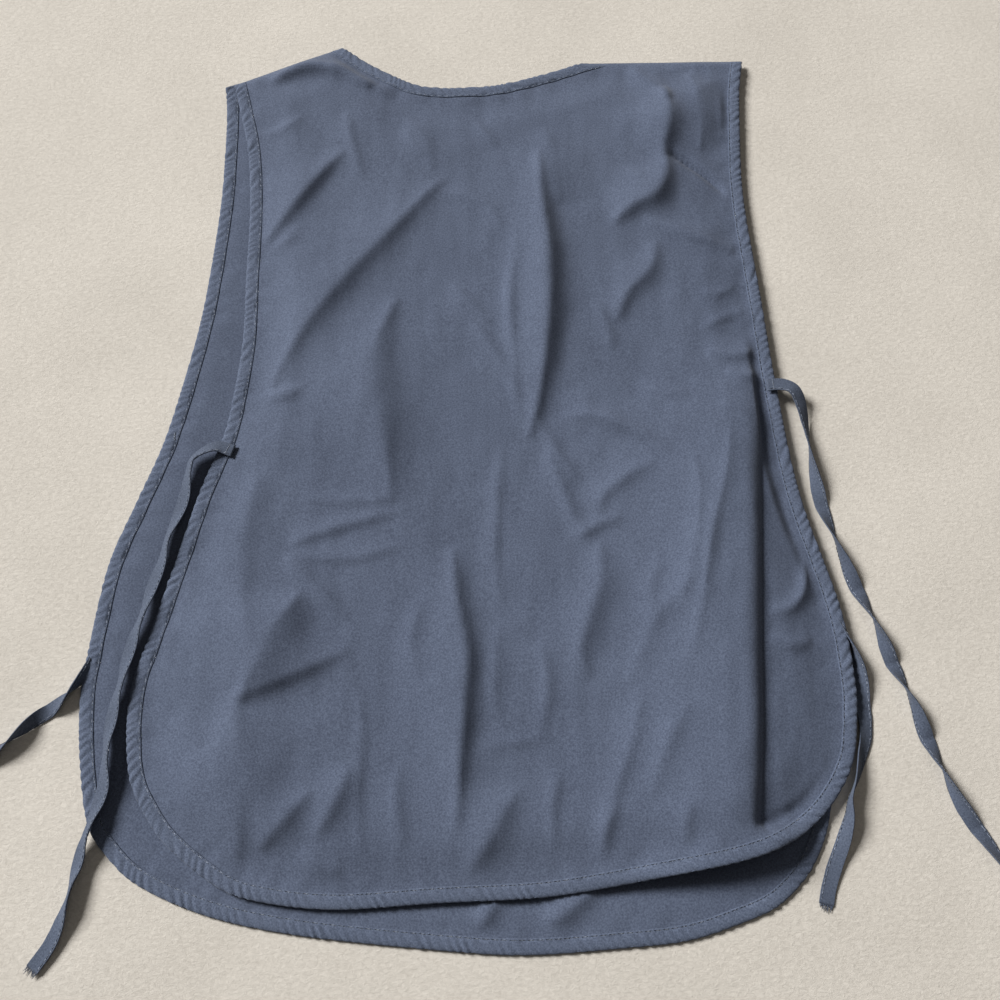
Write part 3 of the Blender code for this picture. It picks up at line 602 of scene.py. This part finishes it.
def nearest(x, y, line):
    """Distance from each point to a line of points, its side, and the metres run along it."""
    starts = line[:-1]
    runs = line[1:] - starts
    lengths = np.hypot(*runs.T)
    before = np.append(0, np.cumsum(lengths))
    dx = np.asarray(x)[:, None] - starts[:, 0]
    dy = np.asarray(y)[:, None] - starts[:, 1]
    share = np.clip((dx * runs[:, 0] + dy * runs[:, 1]) / lengths**2, 0, 1)
    distance = np.hypot(dx - share * runs[:, 0], dy - share * runs[:, 1])
    pick = distance.argmin(axis=1)
    every = np.arange(len(pick))
    side = np.sign(runs[pick, 0] * dy[every, pick] - runs[pick, 1] * dx[every, pick])
    along = before[pick] + share[every, pick] * lengths[pick]
    return distance[every, pick], side, along


def folded(x, y, folds):
    """The height that a table of folds adds."""
    height = np.zeros(len(x))
    for _, rise, left_flank, right_flank, crest in folds:
        line = smooth_line(placed(crest), FOLD_STEP)
        reach = FOLD_REACH * MM * max(left_flank, right_flank)
        near = ((x > line[:, 0].min() - reach) & (x < line[:, 0].max() + reach)
                & (y > line[:, 1].min() - reach) & (y < line[:, 1].max() + reach))
        distance, side, along = nearest(x[near], y[near], line)
        along /= np.linalg.norm(np.diff(line, axis=0), axis=1).sum()
        flank = MM * np.where(side > 0, left_flank, right_flank)
        fade = np.sin(pi * np.clip(along, 0, 1)).clip(0) ** (FOLD_FADE + distance / FOLD_NARROWS)
        rounder = min(1, MM * min(left_flank, right_flank) / FOLD_ROUND)
        power = FOLD_SHARPNESS + FOLD_ROUNDER * rounder
        height[near] += MM * rise * fade * np.exp(-((distance / flank) ** power))
    return height


def crumpled(x, y, pitch, stretch, seed):
    """Soft uneven relief between -1 and 1, with its lumps about a pitch apart."""
    return np.array([
        noise.noise(Vector((a / pitch, b / pitch / stretch, seed))) for a, b in zip(x, y)
    ])


class Panel:
    """One panel's outline, and the place of its cloth's middle at any spot."""

    def __init__(self, outline, neck, drop):
        self.sides = smooth_line(placed(outline), EDGE_STEP)
        self.neck = neck_line(neck, drop, EDGE_STEP)
        self.fine_sides = smooth_line(placed(outline), FINE_STEP)
        self.fine_neck = neck_line(neck, drop, FINE_STEP)
        self.right_seam = smooth_line((self.sides[-1], self.neck[0]), EDGE_STEP)
        self.left_seam = smooth_line((self.neck[-1], self.sides[0]), EDGE_STEP)
        self.loop = np.vstack([
            self.sides, self.right_seam[1:-1], self.neck, self.left_seam[1:-1],
        ])
        self.closed_loop = np.vstack([self.loop, self.loop[:1]])

    def inwards(self, line):
        """Unit vectors square to a line, to the left of the way that it runs."""
        along = np.gradient(line, axis=0)
        return unit(np.column_stack([-along[:, 1], along[:, 0]]))

    def raw_edge(self):
        """The cut edge inside the binding, and at the seams the folded edge itself."""
        after = np.diff(self.closed_loop, axis=0)
        after = unit(np.column_stack([-after[:, 1], after[:, 0]]))
        mitre = np.roll(after, 1, axis=0) + after
        mitre /= (1 + (np.roll(after, 1, axis=0) * after).sum(axis=1))[:, None]
        to_seam = self.from_seams(*self.loop.T)
        depth = RAW_EDGE_IN * eased(to_seam, 0.0, RAW_EDGE_FADE)[:, None] + RAW_EDGE_LEAST
        edge = self.loop + depth * mitre
        return np.vstack([edge, edge[:1]])

    def from_edge(self, x, y):
        return nearest(x, y, self.closed_loop)[0]

    def from_binding(self, x, y):
        return np.minimum(nearest(x, y, self.sides)[0], nearest(x, y, self.neck)[0])

    def from_seams(self, x, y):
        right = nearest(x, y, self.right_seam)[0]
        return np.minimum(right, nearest(x, y, self.left_seam)[0])

    def drags(self, x, y):
        """Small puckers in the cloth beside the binding's stitches."""
        distance, _, along = nearest(x, y, self.closed_loop)
        strength = DRAG_RISE * np.exp(-(((distance - DRAG_IN) / DRAG_SPAN) ** 2))
        strength = strength * (distance > DRAG_FROM)
        lumps = [noise.noise(Vector((a * 95, d * 30, 1.3))) for a, d in zip(along, distance)]
        return strength * np.array(lumps)

    def rolled_to_seam(self, x, y, height, seam_height):
        """The height, brought down or up to the seam in a round fold at the shoulders."""
        share = np.clip(self.from_seams(x, y) / SEAM_ROLL, 0, 1)
        return seam_height + (height - seam_height) * np.sqrt(1 - (1 - share) ** 2)


class BackPanel(Panel):
    def pleat(self, s, y):
        """Where the roll of cloth carries each point to: its x and how far it rises."""
        table = np.array(PLEAT_CREST)
        crest_line = placed(table[:, :2])
        crest = np.interp(-y, -crest_line[:, 1], crest_line[:, 0])
        share = np.interp(-y, -crest_line[:, 1], table[:, 2])
        hem = nearest(crest, y, placed(BACK_OUTLINE)[16:26])[0]
        near_hem = 1 - eased(hem, PLEAT_HEM_NEAR, PLEAT_HEM_FAR)
        beyond = s - (crest + PLEAT_FOOT - PLEAT_SPAN)
        t = np.clip(beyond / PLEAT_CLOTH, 0, 1)
        slack = (PLEAT_CLOTH - PLEAT_SPAN) * np.clip(
            1 - (beyond - PLEAT_CLOTH) / PLEAT_SLACK_FADE, 0, 1)
        down = 1.25 * t - 0.25 * t * t
        rolled = crest + PLEAT_FOOT - PLEAT_SPAN * (1 - down)
        moved = np.where(beyond < 0, s, np.where(t < 1, rolled, s - slack))
        flap = PLEAT_FLAP * (1 - eased(beyond - PLEAT_CLOTH, PLEAT_FLAP_START, PLEAT_FLAP_FALL))
        steep = flap + (1 - flap) * (1 - down ** PLEAT_ROUND)
        left = np.exp(-((beyond / PLEAT_LEFT_FLANK) ** 2))
        soft = np.exp(-(((s - crest) / PLEAT_HEM_FLANK) ** 2))
        right = steep + (np.where(s < crest, 1, soft) - steep) * near_hem
        keep = share * (1 - near_hem)
        side = eased(self.from_edge(s, y), FLAT_EDGE, SIDE_CLEAR)
        held = 1 - eased(hem, FLAT_EDGE, PLEAT_HEM_HOLD)
        reach = np.maximum(held, side)
        rise = PLEAT_RISE * share * reach * np.where(beyond < 0, left, right)
        return s + (moved - s) * keep, rise

    def height(self, x, y, rise=None):
        if rise is None:
            rise = self.pleat(x, y)[1]
        from_edge = self.from_edge(x, y)
        inside = eased(from_edge, FLAT_EDGE, HEM_SETTLES)
        neck_middle = self.neck[len(self.neck) // 2]
        from_neck = np.hypot(x - neck_middle[0], (y - neck_middle[1]) * 2)
        lift = NECK_LIFT * (1 - eased(from_neck / NECK_WIDTH, *NECK_LIFT_REACH))
        right_side = eased(x / HALF_WIDTH, *RIGHT_LIFT_ACROSS)
        lift += RIGHT_LIFT * right_side * (1 - eased(y / HALF_LENGTH, *RIGHT_LIFT_ALONG))
        edge = BACK_EDGE_HEIGHT + lift
        flat = edge + (BACK_HEIGHT - edge) * inside
        beside = eased(self.from_binding(x, y), BINDING_WIDTH, FOLDS_CLEAR)
        folds = beside * folded(x, y, BACK_FOLDS)
        loose = sum(high * crumpled(x, y, *pattern) for high, *pattern in BACK_LOOSE)
        full = flat + rise + folds + beside * loose + self.drags(x, y)
        return self.rolled_to_seam(x, y, full, SEAM_HEIGHT + CLOTH / 2)


def panel_cloth_piece(name, panel, columns, rows, place, material):
    """The panel cut from a grid of cloth: laid out, trimmed to its outline and raised."""
    s, y = (values.ravel() for values in np.meshgrid(columns, rows))
    x, z = place(s, y)
    places = np.column_stack([x, y, z]).reshape(len(rows), len(columns), 3)
    bm = cloth_strip(places, rows, columns)
    edge = panel.raw_edge()
    centres = np.array([face.calc_center_median()[:2] for face in bm.faces])
    inside = np.zeros(len(centres), bool)
    for (ax, ay), (bx, by) in zip(edge, edge[1:]):
        if ay != by:
            crossing = (ay > centres[:, 1]) != (by > centres[:, 1])
            cut = ax + (centres[:, 1] - ay) * (bx - ax) / (by - ay)
            inside ^= crossing & (centres[:, 0] < cut)
    outside = [face for face, kept in zip(bm.faces, inside) if not kept]
    bmesh.ops.delete(bm, geom=outside, context="FACES")
    rim = [vert for vert in bm.verts if vert.is_boundary]
    spots = np.array([vert.co[:2] for vert in rim])
    runs = np.diff(edge, axis=0)
    delta = spots[:, None] - edge[:-1]
    share = np.clip((delta * runs).sum(2) / (runs**2).sum(1), 0, 1)
    near = edge[:-1] + share[:, :, None] * runs
    pick = np.linalg.norm(near - spots[:, None], axis=2).argmin(axis=1)
    spots = near[np.arange(len(rim)), pick]
    for vert, (spot_x, spot_y), spot_z in zip(rim, spots, place(*spots.T)[1]):
        vert.co = (spot_x, spot_y, spot_z)
    return finished(name, bm, material, CLOTH)


# Slate navy cloth of the panels: washed soft, so finely mottled and matt with a faint nap
panel_cloth = woven_cotton("navy cotton blend plain weave", "#474F62", "#616B80",
                           DRAWN_THREAD, 0, "Object")

back = BackPanel(BACK_OUTLINE, BACK_NECK, BACK_NECK_DROP)
# The grid of cloth that the panel is cut from, with narrower columns where the roll stands
back_left, pleat_from, pleat_to, back_right = -0.2405, 0.170, 0.250, 0.278
back_foot, back_top = -0.348, 0.376
back_columns = np.concatenate([
    np.arange(back_left, pleat_from, CELL), np.arange(pleat_from, pleat_to, PLEAT_CELL),
    np.arange(pleat_to, back_right, CELL),
])
back_rows = np.arange(back_foot, back_top, ROW)


def back_place(s, y):
    x, rise = back.pleat(s, y)
    return x, back.height(x, y, rise)


back_piece = panel_cloth_piece("back_panel_cloth", back, back_columns, back_rows, back_place,
                               panel_cloth)
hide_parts("back_panel")

# The lower panel: the same cloth with a deep neckline, lying flat under the other one. It shows
# as a margin at the left and below the hem, with short ripples between the two hems.
FRONT_OUTLINE = (
    (-0.793, 0.885), (-0.782, 0.818), (-0.775, 0.724), (-0.771, 0.550), (-0.789, 0.306),
    (-0.818, 0.147), (-0.858, -0.016), (-0.916, -0.153), (-0.971, -0.287), (-0.996, -0.466),
    (-1.000, -0.550), (-0.982, -0.665), (-0.945, -0.775), (-0.891, -0.831), (-0.800, -0.885),
    (-0.625, -0.936), (-0.400, -0.968), (-0.065, -0.992), (0.145, -1.000), (0.375, -0.989),
    (0.538, -0.976), (0.673, -0.946), (0.756, -0.920), (0.822, -0.879), (0.865, -0.836),
    (0.902, -0.772), (0.927, -0.670), (0.935, -0.536), (0.916, -0.349), (0.873, -0.161),
    (0.840, 0.054), (0.818, 0.268), (0.804, 0.536), (0.807, 0.751), (0.833, 0.944),
)
FRONT_NECK = (
    (0.0, 0.0), (0.05, 0.30), (0.14, 0.66), (0.30, 0.92),
    (0.50, 1.0), (0.70, 0.92), (0.86, 0.66), (0.95, 0.30), (1.0, 0.0),
)
FRONT_FOLDS = (
    ("ripple left", 3.3, 5.4, 6.6, ((0.088, -0.902), (0.054, -0.929), (0.030, -0.959))),
    ("ripple right", 4.4, 6.8, 14.4, ((0.327, -0.882), (0.265, -0.917), (0.192, -0.951))),
    ("side ripple one", 1.2, 4.4, 5.5, ((-0.938, -0.347), (-0.970, -0.363), (-0.993, -0.367))),
    ("side ripple two", 1.2, 4.4, 5.5, ((-0.913, -0.465), (-0.954, -0.475), (-0.978, -0.471))),
)
HIDDEN_TIE_LINE = ((-0.226, -0.012), (-0.268, -0.188))
HIDDEN_TIE_REACH = (0.010, 0.080)
FRONT_LOOSE = 0.0003
FRONT_LOOSE_PATTERN = (0.030, 0.7, 2.2)
FRONT_CELL = 0.0032


class FrontPanel(Panel):
    def height(self, x, y):
        from_edge = self.from_edge(x, y)
        inside = eased(from_edge, FLAT_EDGE, HEM_SETTLES)
        hidden_tie = nearest(x, y, np.array(HIDDEN_TIE_LINE))[0]
        over_tie = UNDER_TIE_LIFT * (1 - eased(hidden_tie, *HIDDEN_TIE_REACH))
        flat = FRONT_EDGE_HEIGHT + (FRONT_HEIGHT - FRONT_EDGE_HEIGHT) * inside
        clear = eased(from_edge, FLAT_EDGE, SIDE_CLEAR)
        ripples = clear * folded(x, y, FRONT_FOLDS)
        loose = FRONT_LOOSE * (1 + crumpled(x, y, *FRONT_LOOSE_PATTERN)) * (1 - inside)
        full = flat + over_tie + ripples + clear * loose + self.drags(x, y)
        return self.rolled_to_seam(x, y, full, SEAM_HEIGHT - CLOTH / 2)


front = FrontPanel(FRONT_OUTLINE, FRONT_NECK, FRONT_NECK_DROP)
front_piece = panel_cloth_piece(
    "front_panel_cloth", front, np.arange(-0.2770, 0.260, FRONT_CELL),
    np.arange(-0.375, 0.376, FRONT_CELL), lambda s, y: (s, front.height(s, y)), panel_cloth,
)
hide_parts("front_panel")

# The bindings: bias-cut strips of the same cloth, folded round the raw edges and held by one
# row of stitches near the inner lip. The bias strip ropes into slanting ridges as it is sewn.
BINDING_CLOTH = 0.0005
RIDGE_PITCH = 0.0072
RIDGE_RISE = 0.00095
RIDGE_LEAN = 1.1
RIDGE_WAVER = 1.3
RIDGE_GROOVE = 0.38
RIDGE_REACH = 0.0088
RIDGE_FADE = 0.0030
RIDGE_MEAN = 0.80
RIDGE_SPREAD = 1.5
RIDGE_LEAST = 0.08
RIDGE_MOST = 1.6
WAVER_PER_METRE = 48
SPREAD_PER_METRE = 62
SCALLOP = 0.00035
SCALLOP_FADE = 0.004
END_THICKNESS = 0.42
END_TAPER = 0.010
STITCH_IN = 0.0089
STITCH_UP = 0.00062
MITRE_FADE = 0.018
MITRE_LIMITS = (-1.6, 1.0)
# Rows of (in from the edge, up from the cloth's middle) in millimetres, from the lower lip
# round the fold to the upper lip
BINDING_SECTION = (
    (10.0, -0.62), (9.4, -0.66), (8.9, -0.62), (7.6, -0.86), (5.6, -1.02), (3.4, -1.04),
    (1.6, -0.92), (0.6, -0.62), (0.15, -0.28), (0.0, 0.0), (0.15, 0.28), (0.6, 0.62),
    (1.6, 0.92), (2.6, 1.04), (3.8, 1.10), (5.2, 1.08), (6.6, 1.00), (7.8, 0.86), (8.6, 0.66),
    (8.9, 0.60), (9.3, 0.64), (9.7, 0.57), (10.0, 0.38),
)

binding_cloth = woven_cotton("navy cotton bias binding", "#454E61", "#667085", DRAWN_THREAD,
                             pi / 4, "UV")


def at_depth(panel, line, inwards, depth, up):
    """The line moved in by a depth and raised by up from the panel's cloth."""
    x, y = (line + np.asarray(depth).reshape(-1, 1) * inwards).T
    return np.column_stack([x, y, panel.height(x, y) + up])


def mitred(panel, line, run, seams):
    """The ways inwards along a line, leaned at its ends so that both end along the seams."""
    inwards = panel.inwards(line)
    for end, beside, seam in ((0, 1, seams[0]), (-1, -2, seams[1])):
        along = unit(line[beside] - line[end])
        seam = unit(seam[1] - seam[0])
        cotangent = along @ seam / abs(along[0] * seam[1] - along[1] * seam[0])
        fade = 1 - eased(np.abs(run - run[end]), 0.0, MITRE_FADE)
        inwards = inwards + fade[:, None] * along * np.clip(cotangent, *MITRE_LIMITS)
    return inwards


def bound_edge(name, panel, line, seams, node_name):
    """The folded strip along a line of the panel's edge, with its row of stitches."""
    run = np.append(0, np.cumsum(np.linalg.norm(np.diff(line, axis=0), axis=1)))
    inwards = mitred(panel, line, run, seams)
    to_end = np.minimum(run, run[-1] - run)
    taper = END_THICKNESS + (1 - END_THICKNESS) * eased(to_end, 0.0, END_TAPER)
    waver = np.array([noise.noise(Vector((s * WAVER_PER_METRE, 7.7, 0))) for s in run])
    strength = np.array([noise.noise(Vector((s * SPREAD_PER_METRE, 1.1, 4))) for s in run])
    strength = np.clip(RIDGE_MEAN + RIDGE_SPREAD * strength, RIDGE_LEAST, RIDGE_MOST)
    layers = []
    for depth_mm, up_mm in BINDING_SECTION:
        depth = depth_mm / 1000
        phase = run / RIDGE_PITCH + RIDGE_LEAN * depth / BINDING_WIDTH + RIDGE_WAVER * waver
        ridge = RIDGE_GROOVE - (0.5 + 0.5 * np.cos(2 * pi * phase)) ** 2.0
        reach = eased(RIDGE_REACH - depth, 0.0, RIDGE_FADE)
        rise = RIDGE_RISE * strength * ridge * reach * np.sign(up_mm)
        up = (up_mm / 1000 + rise) * taper
        scallop = SCALLOP * strength * ridge * (1 - eased(depth, 0.0, SCALLOP_FADE))
        layers.append(at_depth(panel, line, inwards, depth - scallop, up))
    places = np.array(layers).transpose(1, 0, 2)
    places[:, :, 2] = np.maximum(places[:, :, 2], STITCH_PROUD + BINDING_CLOTH / 2)
    section = np.array(BINDING_SECTION) / 1000
    girth = np.append(0, np.cumsum(np.linalg.norm(np.diff(section, axis=0), axis=1)))
    strip = finished(name, cloth_strip(places, run, girth), binding_cloth, BINDING_CLOTH)
    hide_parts(node_name)
    seam = at_depth(panel, line, inwards, STITCH_IN, (STITCH_UP + BINDING_CLOTH / 2) * taper)
    upright = np.tile((0.0, 0.0, 1.0), (len(seam), 1))
    stitches = seam_of_stitches(f"{name}_stitches", seam, upright, thread)
    return [strip, stitches]


trims = {}
for side, panel in (("back", back), ("front", front)):
    left, right = panel.left_seam, panel.right_seam
    trims[side] = bound_edge(f"{side}_edge_strip", panel, panel.fine_sides, (left[::-1], right),
                             f"{side}_edge_binding")
    trims[side] += bound_edge(f"{side}_neck_strip", panel, panel.fine_neck, (right[::-1], left),
                              f"{side}_neck_binding")

# The shoulder seams: the two panels' edges sewn together and turned inwards, with the raw
# allowance left as a flat strip between the panels.
ALLOWANCE_FROM_TIP = 0.022
ALLOWANCE_FROM_NECK = 0.016
ALLOWANCE_ROWS = (0.0022, 0.0040, 0.0060, 0.0080)
ALLOWANCE_STEP = 0.004
ALLOWANCE_PITCH = 0.002
ALLOWANCE_CLOTH = 0.0014

for seam_name, end, corner in (("shoulder_seam_left", 0, -1), ("shoulder_seam_right", -1, 0)):
    tip, neck_corner = back.sides[end], back.neck[corner]
    run = unit((neck_corner - tip)[None])[0]
    down = np.array((run[1], -run[0])) if run[0] > 0 else np.array((-run[1], run[0]))
    line = smooth_line((tip + run * ALLOWANCE_FROM_TIP, neck_corner - run * ALLOWANCE_FROM_NECK),
                       ALLOWANCE_STEP)
    rows = [line + down * depth for depth in ALLOWANCE_ROWS]
    places = np.array([
        np.column_stack([row, np.full(len(row), SEAM_HEIGHT)]) for row in rows
    ]).transpose(1, 0, 2)
    allowance = finished(seam_name + "_allowance",
                         cloth_strip(places, np.arange(len(line)) * ALLOWANCE_STEP,
                                     np.arange(len(rows)) * ALLOWANCE_PITCH),
                         panel_cloth, ALLOWANCE_CLOTH)
    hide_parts(seam_name)

# The mend: a short zigzag in a paler thread through the lower panel's left binding, beside its
# inner lip and a little below the armhole's narrowest place.
MEND_PLACE = (-0.2292, -0.0065)
MEND_STEP = 0.0012
MEND_STITCHES = 7
MEND_UP = 0.0012
MEND_PITCH = 0.0008

pale_thread = woven_cotton("grey-blue mending thread", "#8792A6", "#A9B2C2", DRAWN_THREAD, 0,
                           "Object")
mend = np.array([
    (MEND_PLACE[0] + MEND_STEP * (row % 2), MEND_PLACE[1] + MEND_STEP * row)
    for row in range(MEND_STITCHES)
])
mend_line = np.column_stack([mend, front.height(*mend.T) + MEND_UP])
mend_tack = seam_of_stitches("mended_tack", mend_line,
                             np.tile((0.0, 0.0, 1.0), (MEND_STITCHES, 1)), pale_thread,
                             pitch=MEND_PITCH)

# The fleece that the apron lies on: pale, short-piled and slightly mottled, with light from a
# window at the upper left and the room's own light from all round.
FLOOR_SIZE = 3.0
MOTTLE_PER_METRE = 9.0
PILE_PER_METRE = 430.0
PILE_DEPTH = 0.0012
bm = bmesh.new()
bmesh.ops.create_grid(bm, x_segments=2, y_segments=2, size=FLOOR_SIZE / 2)
floor_mesh = bpy.data.meshes.new("floor")
bm.to_mesh(floor_mesh)
bm.free()
floor = bpy.data.objects.new("floor", floor_mesh)
scene.collection.objects.link(floor)
fleece = bpy.data.materials.new("pale polyester fleece")
fleece.use_nodes = True
tree = fleece.node_tree
coordinates = node(tree, "TexCoord").outputs["Object"]
mottle = node(tree, "TexNoise", {"Vector": coordinates, "Scale": MOTTLE_PER_METRE,
                                 "Detail": 6.0, "Roughness": 0.6})
lie = node(tree, "Mapping", {"Vector": coordinates, "Scale": (0.6, 1.0, 1.0)}).outputs["Vector"]
pile = node(tree, "TexNoise", {"Vector": lie, "Scale": PILE_PER_METRE, "Detail": 5.0,
                               "Roughness": 0.75, "Distortion": 0.6})
tint = node(tree, "Mix", {"Factor": 0.72, "A": mottle.outputs["Fac"], "B": pile.outputs["Fac"]})
spread = node(tree, "MapRange", {"Value": tint.outputs["Result"], "From Min": NOISE_LOW,
                                 "From Max": NOISE_HIGH})
colour = node(tree, "Mix", {"Factor": spread.outputs["Result"], "A": linear("#C3BDB4"),
                            "B": linear("#D8D2C9")}, data_type="RGBA")
fleece_shader = tree.nodes["Principled BSDF"]
tree.links.new(colour.outputs["Result"], fleece_shader.inputs["Base Color"])
fleece_bump = node(tree, "Bump", {"Height": pile.outputs["Fac"], "Strength": 0.45,
                                  "Distance": PILE_DEPTH})
tree.links.new(fleece_bump.outputs["Normal"], fleece_shader.inputs["Normal"])
fleece_shader.inputs["Roughness"].default_value = 0.95
floor_mesh.materials.append(fleece)

LIGHTS = (
    # name, place, size, power in watts, colour
    ("window", (-17.2, 10.0, 13.8), 8.40, 9900.0, "#FFFEFC"),
    ("room", (0.80, 0.40, 2.40), 1.60, 3.0, "#FFF6EC"),
)
for light_name, place, size, power, tint in LIGHTS:
    lamp = bpy.data.lights.new(light_name, "AREA")
    lamp.size = size
    lamp.energy = power
    lamp.color = linear(tint)[:3]
    light = bpy.data.objects.new(light_name, lamp)
    light.location = place
    light.rotation_euler = (-Vector(place)).to_track_quat("-Z", "Y").to_euler()
    scene.collection.objects.link(light)
world = bpy.data.worlds.new("room")
world.use_nodes = True
world.node_tree.nodes["Background"].inputs["Color"].default_value = linear("#F4F1EC")
world.node_tree.nodes["Background"].inputs["Strength"].default_value = 0.10
scene.world = world
